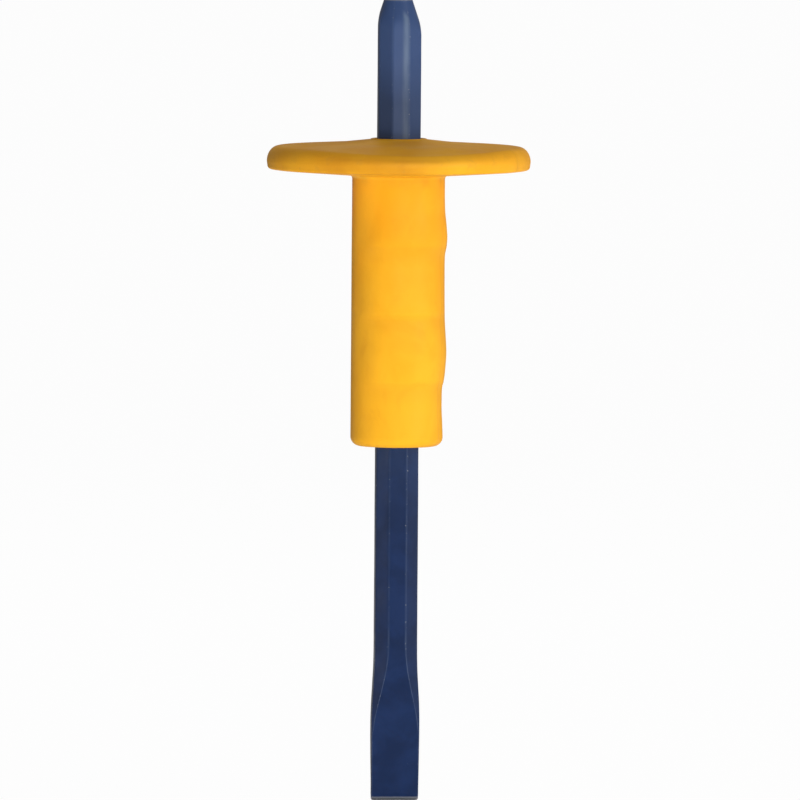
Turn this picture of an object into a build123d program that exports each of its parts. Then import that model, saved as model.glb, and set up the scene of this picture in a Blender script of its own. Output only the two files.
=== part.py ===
from build123d import *
import os

# Flat cold chisel with a push-on hand guard. Millimetres, upright: the cutting edge lies along X
# at Z = 0, and the struck head is at the top. The flats of the blade face +Y and -Y.

# Bar: an octagon, struck at the top and forged to a flat wedge at the bottom
TOOL_LENGTH = 300.0
BAR_FLATS = 16.0                # across flats
BAR_EDGE_RADIUS = 2.0
BAR_HALF = BAR_FLATS / 2
OCTAGON_SIDE = BAR_FLATS * (2**0.5 - 1)

# Crown of the head: a cone ground a little off the centre of the bar
STRUCK_FACE_RADIUS = 5.25
CROWN_SLOPE = 0.33              # radius gained for each millimetre down
CROWN_SHIFT = -0.6              # along X
CROWN_EDGE_RADIUS = 0.8
CROWN_REACH = 20.0              # radius at which the cone is well clear of the bar

# Forged blade, as stations down the bar: height, half width, half thickness, edge radius.
# The bar spreads to the full blade width of 18, then narrows a little to the cutting edge.
BLADE_STATIONS = [
    (60.0, BAR_HALF, BAR_HALF, BAR_EDGE_RADIUS),
    (55.5, 8.01, 7.90, 1.8),
    (50.0, 8.12, 7.46, 1.5),
    (43.0, 8.48, 6.48, 1.2),
    (36.0, 8.85, 5.25, 1.0),
    (29.0, 9.00, 4.10, 0.8),
    (22.0, 8.99, 3.30, 0.65),
    (15.0, 8.96, 2.65, 0.6),
    (7.0, 8.90, 1.98, 0.5),
    (0.0, 8.85, 1.40, 0.4),
]
LEAST_DIAGONAL = 0.5            # the diagonal faces never quite vanish
BEVEL_HEIGHT = 2.4
BEVEL_HALF = 1.5
EDGE_HALF = 0.15
BEVEL_REACH = 12.0              # half thickness at which the bevels are clear of the bar

# Hand guard: a round disc and a finger grip in one moulding
GUARD_RADIUS = 49.5
GUARD_TOP = 247.9
RIM_TOP = 244.75
RIM_BOTTOM = 236.3
RIM_DRAFT = 0.3                 # the foot of the rim stands in by this much
RIM_TOP_ROUND = 4.6
RIM_BOTTOM_ROUND = 1.2
FLARE_FOOT_RADIUS = 24.0        # where the flare round the bar would meet the cone of the disc
FLARE_FOOT_DROP = 1.8
FLARE_ROUND = 80.0
BEAD_INNER = 8.9                # raised ring round the mouth of the bore
BEAD_OUTER = 10.6
BEAD_DROP = 0.35
DISC_ROOT = 234.0
ROOT_ROUND = 1.0
GRIP_RADIUS = 17.4
GRIP_BOTTOM = 132.9
GRIP_END_ROUND = 3.5

# Finger pads: a second round, off centre towards the fingers, swelling under each of them.
# The little finger sits in a hollow instead, cut by a ring that is off centre the other way.
PAD_DIRECTION = -50.0           # degrees from +X, between the front and the right
PAD_SHIFT = 2.4
PAD_OUTLINE = [                 # radius of the second round, height
    (15.0, 230.5),
    (15.85, 221.5),
    (16.75, 211.0),
    (15.95, 202.5),
    (16.25, 190.0),
    (15.9, 181.0),
    (16.72, 168.0),
    (15.0, 153.0),
]
HOLLOW_SHIFT = -0.8
HOLLOW_RADIUS = 17.25
HOLLOW_HEIGHT = 148.0
HOLLOW_ROUND = 50.0

# Bore of the guard: the octagon of the bar with a running clearance
BORE_CLEARANCE = 0.05
BORE_FLATS = BAR_FLATS + 2 * BORE_CLEARANCE
BORE_SIDE = BORE_FLATS * (2**0.5 - 1)
BORE_EDGE_RADIUS = BAR_EDGE_RADIUS + BORE_CLEARANCE
BORE_LEAD_IN = 0.3


def section_corners(half_width, half_thickness, side=OCTAGON_SIDE):
    """The eight corners of a section of the bar, in order round it."""
    x_corner = min(half_width + side / 2 - half_thickness, half_width - LEAST_DIAGONAL)
    y_corner = min(side / 2, half_thickness - LEAST_DIAGONAL)
    quarter = [(half_width, y_corner), (x_corner, half_thickness)]
    left = [(-x, y) for x, y in reversed(quarter)]
    upper = quarter + left
    return upper + [(-x, -y) for x, y in upper]


with BuildPart() as chisel_bar:
    # Shank
    with BuildSketch(Plane.XY.offset(BLADE_STATIONS[0][0])):
        Polygon(*section_corners(BAR_HALF, BAR_HALF), align=None)
        fillet(vertices(), BAR_EDGE_RADIUS)
    extrude(amount=TOOL_LENGTH - BLADE_STATIONS[0][0])

    # Blade, drawn down and spread
    for height, half_width, half_thickness, edge_radius in BLADE_STATIONS:
        with BuildSketch(Plane.XY.offset(height)):
            Polygon(*section_corners(half_width, half_thickness), align=None)
            fillet(vertices(), edge_radius)
    loft()

    # Ground bevels of the cutting edge
    bevel_slope = (BEVEL_HALF - EDGE_HALF) / BEVEL_HEIGHT
    bevel_clear = (BEVEL_REACH - EDGE_HALF) / bevel_slope
    with BuildSketch(Plane.YZ):
        Polygon(
            (-EDGE_HALF, 0),
            (EDGE_HALF, 0),
            (BEVEL_REACH, bevel_clear),
            (BEVEL_REACH, TOOL_LENGTH),
            (-BEVEL_REACH, TOOL_LENGTH),
            (-BEVEL_REACH, bevel_clear),
            align=None,
        )
    extrude(amount=BLADE_STATIONS[0][1] * 2, both=True, mode=Mode.INTERSECT)

    # Crown of the head
    crown_clear = TOOL_LENGTH - (CROWN_REACH - STRUCK_FACE_RADIUS) / CROWN_SLOPE
    with BuildSketch(Plane.XZ.shift_origin((CROWN_SHIFT, 0, 0))):
        Polygon(
            (0, 0),
            (CROWN_REACH, 0),
            (CROWN_REACH, crown_clear),
            (STRUCK_FACE_RADIUS, TOOL_LENGTH),
            (0, TOOL_LENGTH),
            align=None,
        )
        face_edge = vertices().filter_by_position(Axis.X, STRUCK_FACE_RADIUS - 1, STRUCK_FACE_RADIUS + 1)
        fillet(face_edge, CROWN_EDGE_RADIUS)
    crown_axis = Axis((CROWN_SHIFT, 0, 0), (0, 0, 1))
    revolve(axis=crown_axis, mode=Mode.INTERSECT)


with BuildPart() as hand_guard:
    # Disc and grip, turned round the bar
    with BuildSketch(Plane.XZ):
        with BuildLine():
            outer = FilletPolyline(
                (0, GRIP_BOTTOM),
                (GRIP_RADIUS, GRIP_BOTTOM),
                (GRIP_RADIUS, DISC_ROOT),
                (GUARD_RADIUS - RIM_DRAFT, RIM_BOTTOM),
                (GUARD_RADIUS, RIM_TOP),
                (FLARE_FOOT_RADIUS, GUARD_TOP - FLARE_FOOT_DROP),
                (BEAD_OUTER, GUARD_TOP - BEAD_DROP),
                radius=(GRIP_END_ROUND, ROOT_ROUND, RIM_BOTTOM_ROUND, RIM_TOP_ROUND, FLARE_ROUND),
            )
            bead = ThreePointArc(
                outer @ 1,
                ((BEAD_INNER + BEAD_OUTER) / 2, GUARD_TOP),
                (BEAD_INNER, GUARD_TOP - BEAD_DROP),
            )
            Polyline(bead @ 1, (0, GUARD_TOP - BEAD_DROP), outer @ 0)
        make_face()
    revolve(axis=Axis.Z)

    # Finger pads
    pad_plane = Plane.XZ.rotated((0, 0, PAD_DIRECTION))
    pad_axis_foot = pad_plane.x_dir * PAD_SHIFT
    with BuildSketch(pad_plane.shift_origin(pad_axis_foot)):
        with BuildLine():
            swells = Spline(*PAD_OUTLINE)
            Polyline(swells @ 1, (0, PAD_OUTLINE[-1][1]), (0, PAD_OUTLINE[0][1]), swells @ 0)
        make_face()
    revolve(axis=Axis(pad_axis_foot, (0, 0, 1)))

    # Hollow for the little finger
    hollow_axis_foot = pad_plane.x_dir * HOLLOW_SHIFT
    with BuildSketch(pad_plane.shift_origin(hollow_axis_foot)):
        with Locations((HOLLOW_RADIUS + HOLLOW_ROUND, HOLLOW_HEIGHT)):
            Circle(HOLLOW_ROUND)
    revolve(axis=Axis(hollow_axis_foot, (0, 0, 1)), mode=Mode.SUBTRACT)

    # Octagonal bore, with a lead-in at each end
    with BuildSketch(Plane.XY.offset(GRIP_BOTTOM)):
        Polygon(*section_corners(BORE_FLATS / 2, BORE_FLATS / 2, BORE_SIDE), align=None)
        fillet(vertices(), BORE_EDGE_RADIUS)
    extrude(amount=GUARD_TOP - GRIP_BOTTOM, mode=Mode.SUBTRACT)
    mouths = hand_guard.faces().filter_by(Plane.XY)
    chamfer([edge for face in mouths for edge in face.inner_wires()[0].edges()], BORE_LEAD_IN)

os.makedirs("parts", exist_ok=True)
chisel_bar.part.label = "chisel_bar"
export_step(chisel_bar.part, "parts/chisel_bar.step")
hand_guard.part.label = "hand_guard"
export_step(hand_guard.part, "parts/hand_guard.step")
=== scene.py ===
import math

import bpy
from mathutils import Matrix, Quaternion, Vector, noise


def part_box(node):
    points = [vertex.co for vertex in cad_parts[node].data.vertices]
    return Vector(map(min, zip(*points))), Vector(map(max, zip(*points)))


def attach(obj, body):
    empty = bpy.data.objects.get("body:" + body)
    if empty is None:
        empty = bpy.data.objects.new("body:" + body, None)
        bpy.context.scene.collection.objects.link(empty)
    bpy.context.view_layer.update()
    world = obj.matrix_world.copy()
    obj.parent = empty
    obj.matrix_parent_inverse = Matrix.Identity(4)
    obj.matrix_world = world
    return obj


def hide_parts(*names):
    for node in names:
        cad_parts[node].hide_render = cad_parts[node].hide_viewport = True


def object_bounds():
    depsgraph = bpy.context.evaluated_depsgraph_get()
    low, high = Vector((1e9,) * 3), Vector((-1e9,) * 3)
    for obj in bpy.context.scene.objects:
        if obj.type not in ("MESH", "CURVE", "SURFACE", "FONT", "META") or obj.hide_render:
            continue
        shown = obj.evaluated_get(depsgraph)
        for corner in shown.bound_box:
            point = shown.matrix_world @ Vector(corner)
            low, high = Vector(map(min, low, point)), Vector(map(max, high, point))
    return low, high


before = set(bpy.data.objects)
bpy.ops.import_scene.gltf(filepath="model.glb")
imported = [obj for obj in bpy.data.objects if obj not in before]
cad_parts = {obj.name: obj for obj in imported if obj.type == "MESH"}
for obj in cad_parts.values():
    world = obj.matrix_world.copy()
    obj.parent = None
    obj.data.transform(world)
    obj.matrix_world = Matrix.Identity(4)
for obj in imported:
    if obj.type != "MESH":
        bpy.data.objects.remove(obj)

cad_low, cad_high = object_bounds()

# ------------------------------------------------------------------ sizes
# Everything is in metres; the shapes below are worked out in millimetres, then scaled by MM.
MM = 0.001
bar_high = Vector(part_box("chisel_bar")[1]) / MM
guard_low, guard_high = (Vector(corner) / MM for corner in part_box("hand_guard"))

# Bar: an octagon with rounded long edges
TOOL_TOP = bar_high.z
BAR_HALF = bar_high.y
OCTAGON_SIDE = 2 * BAR_HALF * (2**0.5 - 1)
BAR_ARC_STEPS, BAR_FACE_STEPS = 6, 8

# Crown of the head: a cone round an axis of its own, a little to the left of the bar's
STRUCK_RADIUS = 5.25
CROWN_SLOPE = 0.33
CROWN_SHIFT = -0.6
CROWN_RIM = 0.8                 # radius of the rim of the struck face
CROWN_BLEND = 0.9               # softness of the line where the cone cuts the octagon
CROWN_REACH = 16.0              # how far down the cone can reach

# Blade, as stations up the bar: height, half width, half thickness, edge radius
BLADE = [
    (0.0, 8.85, 1.40, 0.35),
    (7.0, 8.90, 1.98, 0.40),
    (15.0, 8.96, 2.65, 0.50),
    (22.0, 8.99, 3.30, 0.60),
    (29.0, 9.00, 4.10, 0.70),
    (36.0, 8.85, 5.25, 0.80),
    (43.0, 8.48, 6.48, 0.90),
    (50.0, 8.12, 7.46, 1.20),
    (55.5, 8.01, 7.90, 1.60),
    (60.0, 8.00, 8.00, 2.00),
]
LEAST_CUT = 0.3                 # the diagonal faces never quite vanish
BEVEL_HEIGHT = 2.4
BEVEL_HALF = 1.5
EDGE_HALF = 0.15
BLADE_CORNER = 0.9
BARE_EDGE = (0.7, 1.5)          # heights between which the lacquer starts
FORGED_DEPTH = 0.09             # unevenness of the forged faces
FORGED_FULL = 6.0               # height above the cutting edge where it is full
FORGED_GRAIN, FORGED_SEED = 9.0, 3.0
DENT_DEPTH = 0.12               # hammer marks on the struck face
DENT_GRAIN, DENT_SEED = 2.5, 9.0

# Hand guard
GUARD_RADIUS = guard_high.x
GUARD_TOP = guard_high.z
GRIP_BOTTOM = guard_low.z
GRIP_RADIUS = 17.4
GRIP_END_ROUND = 3.5
BORE_HALF = BAR_HALF + 0.05
BORE_EDGE = 2.05
BORE_LEAD_IN = 0.3
BEAD_INNER, BEAD_OUTER = 8.9, 10.6
BEAD_HEIGHT = 0.35
BEAD_FOOT = GUARD_TOP - BEAD_HEIGHT
RIM_TOP = GUARD_TOP - 3.15
RIM_BOTTOM = GUARD_TOP - 11.6
RIM_ROUND = 4.4                 # how far in the round of the rim starts
RIM_FALL = 5.6                  # and how far down it ends
RIM_FOOT_ROUND = 1.2
DISC_ROOT = GUARD_TOP - 13.9
ROOT_ROUND = 1.4                # fillet between the disc and the grip
PADS_TOP = DISC_ROOT - 1.2      # the finger pads stop under that fillet
GRIP_SKIN = GRIP_RADIUS - 3.6   # below the disc, what lies further out is the outside of the grip
FINGERS = math.radians(-50)     # middle of the finger pads, measured from +X
PARTING = math.radians(-31)     # where the parting plane of the mould meets the front of the rim
SKIN_DEPTH, DISC_EXTRA = 0.06, 0.08     # unevenness of the grip, and how much more the disc has
SKIN_GRAIN, SKIN_SEED = 16.0, 5.0
GUARD_ARC_STEPS, GUARD_FACE_STEPS = 8, 18


# ------------------------------------------------------------------ curves and grids
def smoothstep(low, high, value):
    """A soft step from 0 at low to 1 at high, either of which may be the greater."""
    share = min(max((value - low) / (high - low), 0.0), 1.0)
    return share * share * (3 - 2 * share)


def smooth_min(a, b, blend):
    """The lesser of a and b, rounded where they meet."""
    overlap = max(blend - abs(a - b), 0.0) / blend
    return min(a, b) - overlap * overlap * blend / 4


def curve_value(points, x):
    """Value at x of a smooth curve through (x, value) points, which makes no swell of its own."""
    xs = [p[0] for p in points]
    ys = [p[1] for p in points]
    if x <= xs[0]:
        return ys[0]
    if x >= xs[-1]:
        return ys[-1]
    slopes = [(ys[i + 1] - ys[i]) / (xs[i + 1] - xs[i]) for i in range(len(xs) - 1)]
    tangents = [slopes[0]]
    for before, after in zip(slopes, slopes[1:]):
        tangents.append(2 * before * after / (before + after) if before * after > 0 else 0.0)
    tangents.append(slopes[-1])
    i = max(k for k in range(len(xs) - 1) if xs[k] <= x)
    width = xs[i + 1] - xs[i]
    t = (x - xs[i]) / width
    value = ys[i] * (1 + 2 * t) * (1 - t) ** 2 + ys[i + 1] * t * t * (3 - 2 * t)
    return value + width * t * (1 - t) * (tangents[i] * (1 - t) - tangents[i + 1] * t)


def arc(centre_x, centre_y, radius, start, end, steps):
    """Points on an arc between two angles in degrees, both ends included."""
    points = []
    for k in range(steps + 1):
        angle = math.radians(start + (end - start) * k / steps)
        points.append((centre_x + radius * math.cos(angle), centre_y + radius * math.sin(angle)))
    return points


def octagon_ring(half_width, half_thickness, edge_radius, arc_steps, face_steps):
    """Points round a rounded octagonal section.

    The third number of a point says how near it is to the middle of a rounded edge, from 0 to 1.
    The cut of the corners and the edge radius are kept small enough for a thin section.
    """
    cut = max(half_thickness - OCTAGON_SIDE / 2, min(LEAST_CUT, 0.6 * half_thickness))
    radius = min(edge_radius, cut / 0.6, 0.8 * half_thickness)
    inner_x, inner_y = half_width - radius, half_thickness - radius
    diagonal = half_width + half_thickness - cut - 2**0.5 * radius
    first = (inner_x, max(diagonal - inner_x, 0.0))
    second = (diagonal - inner_y, inner_y)
    quarter = [first, second]
    half = quarter + [(-x, y) for x, y in reversed(quarter)]
    centres = half + [(-x, -y) for x, y in half]
    arcs = [arc(*c, radius, 45 * i, 45 * (i + 1), arc_steps) for i, c in enumerate(centres)]
    ring = []
    for here, following in zip(arcs, arcs[1:] + arcs[:1]):
        for k, point in enumerate(here):
            ring.append((*point, 1 - abs(2 * k / arc_steps - 1)))
        for k in range(1, face_steps):
            share = k / face_steps
            x = here[-1][0] * (1 - share) + following[0][0] * share
            y = here[-1][1] * (1 - share) + following[0][1] * share
            ring.append((x, y, 0.0))
    return ring


def grid_mesh(name, rings, marks, closed=False):
    """A mesh of quads from rings of points, all of one count.

    Each grid of marks becomes a point attribute with the name of its key. An open mesh gets a
    flat face over its first and its last ring, and a closed one joins its last ring to its first.
    """
    count = len(rings[0])
    last = len(rings) if closed else len(rings) - 1
    faces = []
    for row in range(last):
        low, high = row * count, (row + 1) % len(rings) * count
        for i in range(count):
            j = (i + 1) % count
            faces.append((low + i, low + j, high + j, high + i))
    if not closed:
        faces.append(tuple(reversed(range(count))))
        faces.append(tuple(range((len(rings) - 1) * count, len(rings) * count)))
    mesh = bpy.data.meshes.new(name)
    mesh.from_pydata([Vector(p) * MM for ring in rings for p in ring], [], faces)
    for label, values in marks.items():
        attribute = mesh.attributes.new(label, "FLOAT", "POINT")
        attribute.data.foreach_set("value", [v for ring in values for v in ring])
    for polygon in mesh.polygons:
        polygon.use_smooth = True
    return mesh


def piece_from(mesh, body, node, material):
    """Puts a mesh in the scene as the piece that rides a body and stands for a CAD node."""
    mesh.materials.append(material)
    piece = bpy.data.objects.new(mesh.name, mesh)
    bpy.context.scene.collection.objects.link(piece)
    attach(piece, body)
    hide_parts(node)


# ------------------------------------------------------------------ chisel bar
def bar_section(height):
    """Half width, half thickness and edge radius of the bar at a height."""
    half_width, half_thickness, edge_radius = (
        curve_value([(row[0], row[column]) for row in BLADE], height) for column in (1, 2, 3)
    )
    if height < BEVEL_HEIGHT:
        ground = EDGE_HALF + (BEVEL_HALF - EDGE_HALF) * height / BEVEL_HEIGHT
        half_thickness = min(half_thickness, ground)
    if height < BLADE_CORNER:
        below = BLADE_CORNER - height
        half_width -= BLADE_CORNER - math.sqrt(BLADE_CORNER**2 - below**2)
    return half_width, half_thickness, edge_radius


def bar_heights():
    """Heights of the rings, close together at the cutting edge and the crown."""
    heights = [0.0, 0.06, 0.15, 0.3, 0.5, 0.7, 0.9, 1.2, 1.6, 2.0, 2.3, 2.4, 2.5, 2.8]
    blade_foot, blade_top = 3.4, BLADE[-1][0]
    crown_foot, crown_end = TOOL_TOP - CROWN_REACH, TOOL_TOP - CROWN_RIM
    for start, end, count in (
        (blade_foot, blade_top, 70),
        (blade_top, crown_foot, 150),
        (crown_foot, crown_end, 48),
    ):
        heights += [start + (end - start) * i / count for i in range(count)]
    return heights + [crown_end]


def forged(point, outward, depth, grain, seed):
    """The point sunk by up to depth, in soft waves of about the grain's size."""
    wave = noise.noise(Vector((point.x, point.y, point.z * 0.6)) / grain + Vector((seed, 0, 0)))
    return point - outward * depth * (0.5 + 0.5 * wave)


def crown_ring(ring, height):
    """The ring pulled in to the cone of the crown, with a soft line where they meet."""
    limit = STRUCK_RADIUS + CROWN_SLOPE * (TOOL_TOP - height)
    pulled = []
    for x, y, edge in ring:
        away = Vector((x - CROWN_SHIFT, y))
        away *= smooth_min(away.length, limit, CROWN_BLEND) / away.length
        pulled.append((away.x + CROWN_SHIFT, away.y, edge))
    return pulled


def bar_mesh():
    """The whole bar in one mesh, from the cutting edge up to the struck face."""
    rings, edges, bare = [], [], []
    for height in bar_heights():
        ring = octagon_ring(*bar_section(height), BAR_ARC_STEPS, BAR_FACE_STEPS)
        if height > TOOL_TOP - CROWN_REACH:
            ring = crown_ring(ring, height)
        depth = FORGED_DEPTH * smoothstep(0.0, FORGED_FULL, height)
        row = []
        for x, y, _ in ring:
            outward = Vector((x, y, 0)).normalized()
            point = Vector((x, y, height))
            row.append(forged(point, outward, depth, FORGED_GRAIN, FORGED_SEED))
        rings.append(row)
        edges.append([edge for _, _, edge in ring])
        bare.append([1 - smoothstep(*BARE_EDGE, height)] * len(row))

    # Rim of the struck face
    axis = Vector((CROWN_SHIFT, 0, 0))
    wall = rings[-1]
    for radius, height in arc(0, TOOL_TOP - CROWN_RIM, CROWN_RIM, 0, 90, 6)[1:]:
        inset = CROWN_RIM - radius
        row = []
        for p in wall:
            away = Vector((p.x, p.y, 0)) - axis
            away *= (away.length - inset) / away.length
            row.append(Vector((axis.x + away.x, away.y, height)))
        rings.append(row)
        edges.append([1.0] * len(row))
        bare.append([smoothstep(TOOL_TOP - CROWN_RIM, TOOL_TOP - 0.1, height)] * len(row))

    # The struck face itself, from the rim to the middle, dented by the hammer
    rim = rings[-1]
    for share in (0.93, 0.85, 0.75, 0.64, 0.52, 0.4, 0.28, 0.16, 0.05):
        row = []
        for p in rim:
            point = axis + (Vector((p.x, p.y, TOOL_TOP)) - axis) * share
            point.z = TOOL_TOP
            dent = DENT_DEPTH * smoothstep(1.0, 0.7, share)
            row.append(forged(point, Vector((0, 0, 1)), dent, DENT_GRAIN, DENT_SEED))
        rings.append(row)
        edges.append([0.0] * len(row))
        bare.append([1.0] * len(row))
    return grid_mesh("chisel_bar_forging", rings, {"edge": edges, "bare": bare})


# ------------------------------------------------------------------ hand guard
# Swell of the finger side and of the front, by height. The middle pad lies further to the front
# than the other two.
SIDE_SWELL = [
    (135.0, -0.2), (138.5, -0.3), (143.0, -0.5), (147.5, -0.7), (153.5, -0.65), (155.2, -0.5),
    (156.8, -0.05), (159.0, 0.3), (162.0, 0.6), (168.0, 0.95), (176.5, 0.5), (181.0, 0.25),
    (190.0, 0.1), (200.0, 0.05), (204.0, 0.12), (205.8, 0.4), (207.8, 0.8), (210.8, 1.0),
    (215.0, 0.75), (221.0, 0.15), (226.0, 0.0),
]
FRONT_SWELL = [
    (170.0, 0.1), (179.0, 0.0), (181.0, 0.1), (182.8, 0.65), (185.5, 0.85), (190.0, 0.75),
    (201.0, 0.0),
]
PAD_FEET = (157.2, 182.6, 208.0)        # heights where each pad stops short above a hollow

# Directions round the axis, measured from +X. A reach is how far either way from the middle
# something is full, and how far it is gone.
SIDE_REACH = (math.radians(62), math.radians(100))
FRONT_MIDDLE = math.radians(-80)
FRONT_REACH = (math.radians(40), math.radians(78))
CREASE_REACH = (math.radians(70), math.radians(98))
SAG_MIDDLE = math.radians(-86)
SAG_REACH = (0.0, math.radians(65))
FRONT_SAG = 1.6                         # how far the top of the rim bends down at the front
RIM_SHADE_MIDDLE = math.radians(-105)
RIM_SHADE_REACH = (math.radians(12), math.radians(42))


def turned(angle, middle):
    """How far one direction round the axis is from another, either way."""
    return abs((angle - middle + math.pi) % (2 * math.pi) - math.pi)


def pad_swell(angle, height):
    """How far the grip stands out for the fingers."""
    side = 1 - smoothstep(*SIDE_REACH, turned(angle, FINGERS))
    front = 1 - smoothstep(*FRONT_REACH, turned(angle, FRONT_MIDDLE))
    return side * curve_value(SIDE_SWELL, height) + front * curve_value(FRONT_SWELL, height)


def pad_crease(angle, height):
    """How far into the crease under a pad a point of the grip is, which sets the painted shade
    there.
    """
    reach = 1 - smoothstep(*CREASE_REACH, turned(angle, FINGERS))
    depth = 0.0
    for foot in PAD_FEET:
        below = smoothstep(-0.6, 0.8, foot - height)
        depth = max(depth, below * (1 - smoothstep(2.0, 10.0, foot - height)))
    return reach * depth


def front_sag(angle, radius, height):
    """How far the top of the disc bends down towards the front of the rim."""
    front = 1 - smoothstep(*SAG_REACH, turned(angle, SAG_MIDDLE))
    outer = smoothstep(34.0, 47.0, radius) * smoothstep(RIM_TOP - RIM_FALL, RIM_TOP - 0.5, height)
    return FRONT_SAG * front * outer


def rim_shade_amount(angle, radius, height):
    """How much painted shade the wall of the rim gets: a little all round, most on the left of its
    front.
    """
    front_left = 1 - smoothstep(*RIM_SHADE_REACH, turned(angle, RIM_SHADE_MIDDLE))
    wall = smoothstep(43.0, 48.0, radius) * smoothstep(RIM_TOP, RIM_TOP - 3.0, height)
    return wall * (0.2 + 0.8 * front_left)


def ring_wear(radius, height):
    """How deep in a crease a ring of the guard is, which sets its grime and painted shade, and how
    rubbed it is.
    """
    if height > RIM_TOP:
        crease = 1 - smoothstep(9.0, 13.0, radius)          # round the bar
    else:
        crease = 1 - smoothstep(17.5, 23.0, radius)         # in the fillet under the disc
        crease *= smoothstep(DISC_ROOT - 5, DISC_ROOT, height)
    rim = smoothstep(45.0, 49.0, radius)
    grip_end = 1 - smoothstep(GRIP_BOTTOM + 1, GRIP_BOTTOM + 5, height)
    return crease, max(rim, grip_end)


def narrow_rim_mark(angle, height):
    """How strongly a narrow mark down the rim is darkened: low on the rim, and wider at its foot.
    """
    share = smoothstep(RIM_BOTTOM + 7.0, RIM_BOTTOM + 1.0, height)
    half_width = math.radians(1.0 + 3.0 * share)
    return share * (1 - smoothstep(0.3 * half_width, half_width, turned(angle, PARTING)))


def guard_outline():
    """Half outline of the guard, as radius and height, from the bore's mouth to the grip's foot."""
    # Raised bead round the bore
    bead_half = (BEAD_OUTER - BEAD_INNER) / 2
    bead_steps = 8
    outline = []
    for k in range(bead_steps + 1):
        angle = math.radians(180 - 180 * k / bead_steps)
        outline.append((
            BEAD_INNER + bead_half * (1 + math.cos(angle)),
            BEAD_FOOT + BEAD_HEIGHT * math.sin(angle),
        ))

    # Top of the disc, with closer rings where it rises to the bead
    top = [
        (BEAD_OUTER, BEAD_FOOT), (13.0, BEAD_FOOT - 0.28), (18.0, BEAD_FOOT - 0.82),
        (24.0, BEAD_FOOT - 1.42), (30.0, BEAD_FOOT - 1.79),
        (GUARD_RADIUS - RIM_ROUND, RIM_TOP + 0.12),
    ]
    for first, step, count in ((11.1, 0.6, 20), (24.0, 1.6, 13)):
        radii = [first + step * k for k in range(count)]
        outline += [(radius, curve_value(top, radius)) for radius in radii]

    # Rim: its round, its wall and its foot
    rim_middle = RIM_TOP + 0.1 - RIM_FALL
    for x, y in arc(0, 0, 1, 86, 2, 18):
        outline.append((GUARD_RADIUS + RIM_ROUND * (x - 1), rim_middle + RIM_FALL * y))
    wall_foot = GUARD_RADIUS - 0.25
    wall_steps = 6
    for k in range(1, wall_steps):
        share = k / wall_steps
        outline.append((
            GUARD_RADIUS + (wall_foot - GUARD_RADIUS) * share,
            rim_middle * (1 - share) + (RIM_BOTTOM + RIM_FOOT_ROUND) * share,
        ))
    foot_inset = wall_foot - RIM_FOOT_ROUND
    outline += arc(foot_inset, RIM_BOTTOM + RIM_FOOT_ROUND, RIM_FOOT_ROUND, -5, -86, 8)

    # Underside of the disc, in to the fillet
    root_radius = GRIP_RADIUS + ROOT_ROUND
    slope = (RIM_BOTTOM - DISC_ROOT) / (wall_foot - GRIP_RADIUS)
    under_steps = 22
    for k in range(1, under_steps):
        radius = foot_inset + (root_radius - foot_inset) * k / under_steps
        outline.append((radius, DISC_ROOT + slope * (radius - GRIP_RADIUS)))
    outline += arc(root_radius, DISC_ROOT - 1.3, ROOT_ROUND, 90, 180, 8)

    # Grip, round its end and in to the bore
    grip_top, grip_foot = DISC_ROOT - 2.0, GRIP_BOTTOM + GRIP_END_ROUND
    grip_rows = 130
    for k in range(grip_rows):
        outline.append((GRIP_RADIUS, grip_top + (grip_foot - grip_top) * k / grip_rows))
    outline += arc(GRIP_RADIUS - GRIP_END_ROUND, grip_foot, GRIP_END_ROUND, 0, -90, 14)
    outline += [(radius, GRIP_BOTTOM) for radius in (13.0, 12.0, 11.0, 10.0, 9.3)]
    return outline


def bore_ring(half):
    """An octagonal ring of the bore, half as wide as it says."""
    return octagon_ring(half, half, BORE_EDGE, GUARD_ARC_STEPS, GUARD_FACE_STEPS)


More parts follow.
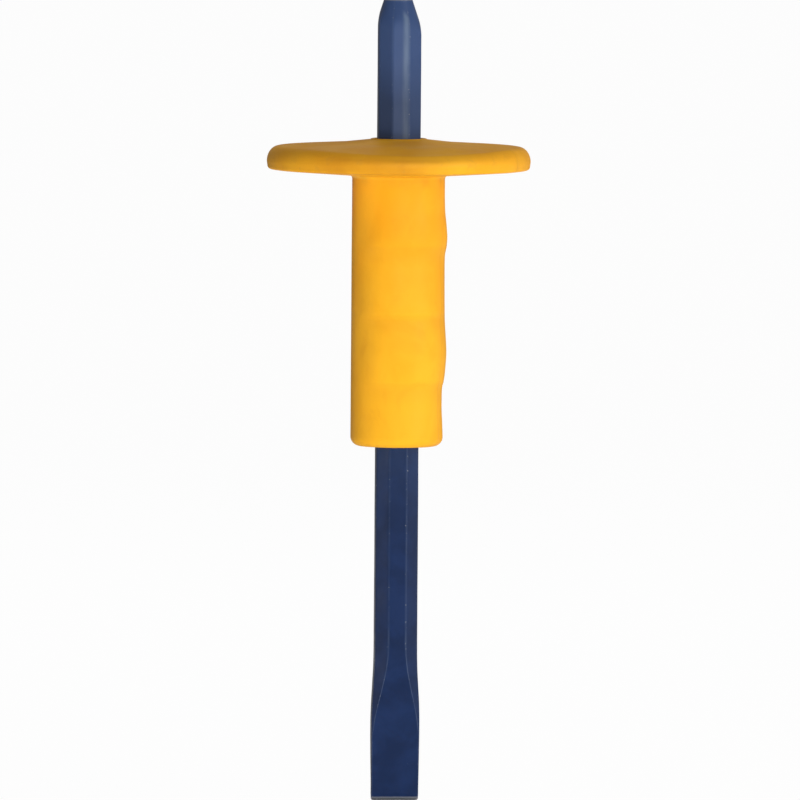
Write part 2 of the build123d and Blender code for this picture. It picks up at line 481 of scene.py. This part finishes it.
def guard_mesh():
    """The guard in one closed mesh: over the disc, down the grip and back up through the bore."""
    bore, mouth = bore_ring(BORE_HALF), bore_ring(BORE_HALF + BORE_LEAD_IN)
    angles = [math.atan2(y, x) for x, y, _ in bore]
    rings, crease, finger, scuff, rim_shade = [], [], [], [], []

    def add(points, creased, scuffed):
        rings.append(points)
        crease.append([creased] * len(points))
        scuff.append([scuffed] * len(points))
        finger.append([0.0] * len(points))
        rim_shade.append([0.0] * len(points))

    add([Vector((x, y, BEAD_FOOT)) for x, y, _ in mouth], 1.0, 0.0)
    for radius, height in guard_outline():
        row = []
        for angle in angles:
            reach = radius
            if GRIP_BOTTOM < height < PADS_TOP and radius > GRIP_SKIN:
                reach += pad_swell(angle, height)
            level = height - front_sag(angle, radius, height)
            point = Vector((reach * math.cos(angle), reach * math.sin(angle), level))
            outward = Vector((math.cos(angle), math.sin(angle), 0))
            depth = DISC_EXTRA * smoothstep(17.0, 18.0, radius) + SKIN_DEPTH
            if height > GRIP_BOTTOM + 0.5 and radius > GRIP_RADIUS - 3:
                point = forged(point, outward, depth, SKIN_GRAIN, SKIN_SEED)
            row.append(point)
        add(row, *ring_wear(radius, height))
        # A narrow dark mark low on the rim joins the darkening of the creases
        if radius > GUARD_RADIUS - 1.5 and height < RIM_TOP - 2:
            rim_mark = [narrow_rim_mark(angle, height) for angle in angles]
            crease[-1] = [max(pair) for pair in zip(crease[-1], rim_mark)]
        if radius > 42:
            rim_shade[-1] = [rim_shade_amount(angle, radius, height) for angle in angles]
        if height < PADS_TOP and radius > GRIP_SKIN:
            finger[-1] = [pad_crease(angle, height) for angle in angles]
    add([Vector((x, y, GRIP_BOTTOM)) for x, y, _ in mouth], 1.0, 0.0)
    bore_rows = 40
    for k in range(bore_rows + 1):
        share = k / bore_rows
        height = (GRIP_BOTTOM + BORE_LEAD_IN) * (1 - share) + (BEAD_FOOT - BORE_LEAD_IN) * share
        add([Vector((x, y, height)) for x, y, _ in bore], 1.0, 0.0)
    marks = {"crease": crease, "finger": finger, "scuff": scuff, "rim_shade": rim_shade}
    # Laid down the outside and up the bore, the rings are reversed to turn the faces outwards
    for grid in (rings, *marks.values()):
        grid.reverse()
    return grid_mesh("hand_guard_moulding", rings, marks, closed=True)


# ------------------------------------------------------------------ materials
class Nodes:
    """A material under construction: makes nodes and links them."""

    def __init__(self, name):
        self.material = bpy.data.materials.new(name)
        self.material.use_nodes = True
        self.tree = self.material.node_tree
        self.shader = self.tree.nodes["Principled BSDF"]
        self.place = self.make("ShaderNodeTexCoord").outputs["Object"]

    def make(self, kind, **settings):
        node = self.tree.nodes.new(kind)
        for key, value in settings.items():
            setattr(node, key, value)
        return node

    def plug(self, socket, value):
        if isinstance(value, bpy.types.NodeSocket):
            self.tree.links.new(value, socket)
        else:
            socket.default_value = value

    def attribute(self, name):
        return self.make("ShaderNodeAttribute", attribute_name=name).outputs["Fac"]

    def scaled(self, stretch):
        mapping = self.make("ShaderNodeMapping")
        self.plug(mapping.inputs["Vector"], self.place)
        mapping.inputs["Scale"].default_value = stretch
        return mapping.outputs["Vector"]

    def noise(self, scale, detail=3.0, roughness=0.5, distortion=0.0, stretch=(1, 1, 1)):
        node = self.make("ShaderNodeTexNoise")
        self.plug(node.inputs["Vector"], self.scaled(stretch))
        node.inputs["Scale"].default_value = scale
        node.inputs["Detail"].default_value = detail
        node.inputs["Roughness"].default_value = roughness
        node.inputs["Distortion"].default_value = distortion
        return node.outputs["Fac"]

    def ramp(self, value, low, high, out_low=0.0, out_high=1.0):
        """A soft step from out_low to out_high as value goes from low to high."""
        node = self.make("ShaderNodeMapRange", interpolation_type="SMOOTHSTEP")
        self.plug(node.inputs["Value"], value)
        limits = {"From Min": low, "From Max": high, "To Min": out_low, "To Max": out_high}
        for key, number in limits.items():
            node.inputs[key].default_value = number
        return node.outputs["Result"]

    def math(self, operation, a, b=0.0):
        node = self.make("ShaderNodeMath", operation=operation)
        self.plug(node.inputs[0], a)
        self.plug(node.inputs[1], b)
        return node.outputs["Value"]

    def mix(self, share, a, b, blend="MIX"):
        node = self.make("ShaderNodeMix", data_type="RGBA", blend_type=blend)
        self.plug(node.inputs["Factor"], share)
        self.plug(node.inputs["A"], a)
        self.plug(node.inputs["B"], b)
        return node.outputs["Result"]

    def bump(self, height, distance, strength, under=None):
        node = self.make("ShaderNodeBump")
        node.inputs["Strength"].default_value = strength
        node.inputs["Distance"].default_value = distance
        self.plug(node.inputs["Height"], height)
        if under is not None:
            self.plug(node.inputs["Normal"], under)
        return node.outputs["Normal"]


def lacquered_steel():
    """Blue lacquer over forged steel, worn on the edges, bare on the striking and cutting ends,
    with a painted reflection that lightens it towards the head and a painted highlight down the
    head's front face.
    """
    n = Nodes("lacquered_steel")
    edge, bare = n.attribute("edge"), n.attribute("bare")
    deep, bright = (0.0048, 0.0145, 0.052, 1), (0.0075, 0.0215, 0.076, 1)
    dull, painted_reflection_blue = (0.014, 0.026, 0.056, 1), (0.042, 0.078, 0.190, 1)
    scuffed, rubbed = (0.105, 0.150, 0.235, 1), (0.070, 0.098, 0.165, 1)
    dark_steel, bright_steel = (0.26, 0.27, 0.29, 1), (0.44, 0.45, 0.48, 1)

    spot = n.make("ShaderNodeSeparateXYZ")
    n.plug(spot.inputs["Vector"], n.place)
    reflection_towards_head = n.ramp(spot.outputs["Z"], 0.085, 0.25)
    lacquer = n.mix(n.ramp(n.noise(70, 4, 0.6, 0.4), 0.35, 0.68), deep, bright)
    cloud = n.ramp(n.noise(26, 3, 0.55, 0.8, (1, 1, 0.35)), 0.50, 0.72, 0.0, 0.4)
    lacquer = n.mix(cloud, lacquer, dull)
    # Painted reflection: the lacquer is mixed towards a lighter blue up towards the head
    lacquer = n.mix(n.math("MULTIPLY", reflection_towards_head, 0.75), lacquer, painted_reflection_blue)

    # A painted highlight, standing in for a reflection: a pale streaky stripe down the front face
    # of the head, just left of its right-hand edge
    highlight_middle, highlight_reach = 0.0018, 0.0018
    beside = n.math("ABSOLUTE", n.math("SUBTRACT", spot.outputs["X"], highlight_middle))
    front_face = n.ramp(spot.outputs["Y"], -0.0062, -0.0070)
    # The mask and the pale tone mixed in below are the painted highlight
    scuff = n.math("MULTIPLY", n.ramp(beside, highlight_reach, 0.0002), front_face)
    highlight_streaks = n.ramp(n.noise(160, 4, 0.6, 0.3, (1, 1, 0.15)), 0.30, 0.60, 0.25, 0.85)
    scuff = n.math("MULTIPLY", scuff, highlight_streaks)
    scuff = n.math("MULTIPLY", scuff, n.ramp(spot.outputs["Z"], 0.24, 0.25))
    lacquer = n.mix(scuff, lacquer, scuffed)

    # Edges worn in patches, more on the blade than above it, with small chips down to the steel
    patches = n.ramp(n.noise(420, 5, 0.65, 0.0, (1, 1, 0.3)), 0.30, 0.62, 0.35, 1.0)
    worn = n.math("MULTIPLY", n.ramp(edge, 0.25, 0.9), patches)
    blade = n.ramp(spot.outputs["Z"], 0.066, 0.056, 0.22, 0.55)
    lacquer = n.mix(n.math("MULTIPLY", worn, blade), lacquer, rubbed)
    pits = n.math("ADD", n.noise(900, 4, 0.7), n.math("MULTIPLY", edge, 0.14))
    chips = n.ramp(pits, 0.735, 0.765)
    steel = n.mix(n.noise(1500, 3), dark_steel, bright_steel)
    metal = n.math("MAXIMUM", bare, n.math("MULTIPLY", chips, 0.7))
    n.plug(n.shader.inputs["Base Color"], n.mix(metal, lacquer, steel))
    n.plug(n.shader.inputs["Metallic"], metal)

    haze = n.ramp(n.noise(55, 4, 0.6, 0.5), 0.3, 0.7, 0.30, 0.42)
    n.plug(n.shader.inputs["Roughness"], n.math("ADD", haze, n.math("MULTIPLY", worn, 0.10)))
    n.shader.inputs["Specular IOR Level"].default_value = 0.26

    scale = n.bump(n.noise(240, 5, 0.6, 0.3, (1, 1, 0.6)), 0.00010, 0.30)
    grain = n.bump(n.noise(1400, 3, 0.6), 0.00002, 0.35, scale)
    lines = n.bump(n.noise(900, 2, 0.5, 0.0, (1, 1, 0.03)), 0.00003, 0.25, grain)
    n.plug(n.shader.inputs["Normal"], lines)
    return n.material


def guard_pvc():
    """Soft yellow PVC with a satin moulded skin, handled and a little soiled, with painted shade in
    its creases, under its finger pads and on the wall of its rim.
    """
    n = Nodes("guard_pvc")
    crease, finger = n.attribute("crease"), n.attribute("finger")
    scuff, rim_shade = n.attribute("scuff"), n.attribute("rim_shade")
    warm, light = (0.83, 0.372, 0.013, 1), (0.88, 0.424, 0.018, 1)
    grime_and_shade_tone, shaded = (0.42, 0.22, 0.030, 1), (0.55, 0.20, 0.012, 1)
    rim_shade_tone, worn = (0.50, 0.19, 0.014, 1), (0.52, 0.25, 0.035, 1)
    smudged, seam_tone = (0.66, 0.25, 0.012, 1), (0.50, 0.21, 0.020, 1)
    speck_tone = (0.40, 0.20, 0.03, 1)

    colour = n.mix(n.ramp(n.noise(34, 4, 0.55, 0.6), 0.35, 0.65), warm, light)
    # Grime and painted shade in the creases: round the bar, in the fillet under the disc, and in a
    # narrow dark mark low on the rim
    grime_and_shade = n.math("MULTIPLY", crease, n.ramp(n.noise(160, 5, 0.65), 0.35, 0.7, 0.25, 0.85))
    colour = n.mix(n.math("MULTIPLY", grime_and_shade, 0.40), colour, grime_and_shade_tone)
    # Painted shade under the lips of the finger pads
    colour = n.mix(n.math("MULTIPLY", finger, 0.16), colour, shaded)
    # Painted shade on the wall of the rim, most on the left of its front
    rim_shade_mask = n.math("MULTIPLY", rim_shade, n.ramp(n.noise(90, 4, 0.6), 0.3, 0.7, 0.40, 0.60))
    colour = n.mix(rim_shade_mask, colour, rim_shade_tone)
    rubbed = n.math("MULTIPLY", scuff, n.ramp(n.noise(240, 5, 0.7, 0.5), 0.52, 0.72))
    colour = n.mix(n.math("MULTIPLY", rubbed, 0.30), colour, worn)
    smudges = n.ramp(n.noise(48, 5, 0.65, 1.5), 0.54, 0.72, 0.0, 0.22)
    colour = n.mix(smudges, colour, smudged)

    # The parting line of the mould, a fine ridge down both sides in one plane through the axis
    spot = n.make("ShaderNodeSeparateXYZ")
    n.plug(spot.inputs["Vector"], n.place)
    along_x = n.math("MULTIPLY", spot.outputs["X"], -math.sin(PARTING))
    along_y = n.math("MULTIPLY", spot.outputs["Y"], math.cos(PARTING))
    seam = n.ramp(n.math("ABSOLUTE", n.math("ADD", along_x, along_y)), 0.00040, 0.00012)
    colour = n.mix(n.math("MULTIPLY", seam, 0.18), colour, seam_tone)
    specks = n.ramp(n.noise(1300, 2, 0.5), 0.74, 0.80)
    colour = n.mix(n.math("MULTIPLY", specks, 0.25), colour, speck_tone)
    n.plug(n.shader.inputs["Base Color"], colour)

    polish = n.ramp(n.noise(60, 4, 0.6, 0.4), 0.3, 0.7, 0.42, 0.54)
    n.plug(n.shader.inputs["Roughness"], n.math("ADD", polish, n.math("MULTIPLY", rubbed, 0.15)))
    n.shader.inputs["Specular IOR Level"].default_value = 0.14

    skin = n.bump(n.noise(2600, 3, 0.6), 0.00004, 0.35)
    skin = n.bump(n.noise(560, 3, 0.55), 0.00010, 0.35, skin)
    skin = n.bump(seam, 0.00008, 0.5, skin)
    wave = n.bump(n.noise(120, 2, 0.5, 0.3), 0.00022, 0.35, skin)
    scratch = n.ramp(n.noise(700, 2, 0.5, 1.2, (1, 1, 0.06)), 0.66, 0.72)
    n.plug(n.shader.inputs["Normal"], n.bump(scratch, 0.00004, 0.25, wave))
    return n.material


# ------------------------------------------------------------------ the two pieces
piece_from(bar_mesh(), "chisel", "chisel_bar", lacquered_steel())
piece_from(guard_mesh(), "guard", "hand_guard", guard_pvc())


# ------------------------------------------------------------------ floor, light and camera
WHITE = (1.0, 1.0, 1.0, 1.0)


def white_for_the_camera(tree, real, glow, out):
    """Mixes in a plain white for what the camera sees, so that the ground is even and pale.

    It returns the socket that sets how much of it is mixed in.
    """
    path = tree.nodes.new("ShaderNodeLightPath")
    mix = tree.nodes.new("ShaderNodeMixShader")
    share = tree.nodes.new("ShaderNodeMath")
    share.operation = "MULTIPLY"
    tree.links.new(path.outputs["Is Camera Ray"], share.inputs[0])
    tree.links.new(share.outputs[0], mix.inputs["Fac"])
    tree.links.new(real, mix.inputs[1])
    tree.links.new(glow, mix.inputs[2])
    tree.links.new(mix.outputs["Shader"], out)
    return share.inputs[1]


def make_floor():
    half = 12.0
    mesh = bpy.data.meshes.new("floor")
    corners = [(-half, -half, 0), (half, -half, 0), (half, half, 0), (-half, half, 0)]
    mesh.from_pydata(corners, [], [(0, 1, 2, 3)])
    floor = bpy.data.objects.new("floor", mesh)
    bpy.context.scene.collection.objects.link(floor)
    material = bpy.data.materials.new("pale_floor")
    material.use_nodes = True
    tree = material.node_tree
    shader = tree.nodes["Principled BSDF"]
    shader.inputs["Base Color"].default_value = (0.82, 0.82, 0.82, 1)
    shader.inputs["Roughness"].default_value = 0.9
    shader.inputs["Specular IOR Level"].default_value = 0.1
    glow = tree.nodes.new("ShaderNodeEmission")
    glow.inputs["Color"].default_value = WHITE
    out = tree.nodes["Material Output"].inputs["Surface"]
    share = white_for_the_camera(tree, shader.outputs["BSDF"], glow.outputs["Emission"], out)
    share.default_value = 0.97
    mesh.materials.append(material)
    floor.visible_shadow = False              # the low lamps shine up through it


def make_world():
    world = bpy.data.worlds.new("studio")
    bpy.context.scene.world = world
    world.use_nodes = True
    tree = world.node_tree
    soft = tree.nodes["Background"]
    soft.inputs["Color"].default_value = (1, 1, 1, 1)
    soft.inputs["Strength"].default_value = 0.27
    seen = tree.nodes.new("ShaderNodeBackground")
    seen.inputs["Color"].default_value = WHITE
    out = tree.nodes["World Output"].inputs["Surface"]
    share = white_for_the_camera(tree, soft.outputs[0], seen.outputs[0], out)
    share.default_value = 1.0


def towards(azimuth, elevation):
    """Unit vector from the object to a point round it: azimuth 0 is the front, 90 the right."""
    a, e = math.radians(azimuth), math.radians(elevation)
    return Vector((math.sin(a) * math.cos(e), -math.cos(a) * math.cos(e), math.sin(e)))


MIDDLE = Vector((0, 0, (cad_low[2] + cad_high[2]) / 2))


def soft_box(name, azimuth, elevation, distance, width, height, power, reflected=False):
    """A lamp aimed at the tool. It gives only soft light, or it shows only as a reflection."""
    light = bpy.data.lights.new(name, "AREA")
    light.shape = "RECTANGLE"
    light.size, light.size_y = width, height
    light.energy = power
    lamp = bpy.data.objects.new(name, light)
    bpy.context.scene.collection.objects.link(lamp)
    lamp.location = MIDDLE + towards(azimuth, elevation) * distance
    lamp.rotation_euler = (MIDDLE - lamp.location).to_track_quat("-Z", "Y").to_euler()
    lamp.visible_camera = False
    lamp.visible_glossy = reflected
    lamp.visible_diffuse = not reflected


def make_camera():
    azimuth, elevation, roll = -5.0, 3.4, 0.4
    distance = 6.0
    aside = 0.0011                            # the tool stands a little left of the middle
    seen_height = 0.2989                      # and just fills the picture
    lens_data = bpy.data.cameras.new("camera")
    lens_data.sensor_width = 36.0
    lens_data.lens = lens_data.sensor_width * distance / seen_height
    lens_data.clip_end = 60.0
    camera = bpy.data.objects.new("camera", lens_data)
    bpy.context.scene.collection.objects.link(camera)
    back = towards(azimuth, elevation)
    right = Vector((0, 0, 1)).cross(back).normalized()
    target = MIDDLE + right * aside
    camera.location = target + back * distance
    aim = (-back).to_track_quat("-Z", "Y")
    camera.rotation_mode = "QUATERNION"
    camera.rotation_quaternion = aim @ Quaternion((0, 0, 1), math.radians(roll))
    bpy.context.scene.camera = camera


make_floor()
make_world()

# Azimuth and elevation in degrees; distance, width and height in metres; power in watts
soft_box("key", 3, -4, 1.5, 0.6, 0.25, 7.5)
soft_box("low_front", -2, -30, 1.3, 0.6, 0.4, 11.5)
soft_box("far_right", 98, 5, 1.2, 0.7, 0.7, 6.0)
soft_box("right_high", 62, 25, 1.2, 0.7, 0.5, 1.3)
soft_box("top_right", 60, 65, 1.2, 0.7, 0.7, 1.6)
soft_box("back", 185, 35, 1.6, 0.8, 0.6, 5.0)
soft_box("strip_high", 50, 16, 1.0, 0.25, 0.5, 2.0, reflected=True)
soft_box("strip_low", 50, -5, 1.0, 0.25, 0.5, 0.5, reflected=True)
soft_box("strip_left", -82, -5, 0.9, 0.3, 0.10, 0.28, reflected=True)
soft_box("card", 5, 27, 0.29, 0.16, 0.12, 0.18, reflected=True)
make_camera()
bpy.context.scene.view_settings.view_transform = "Standard"
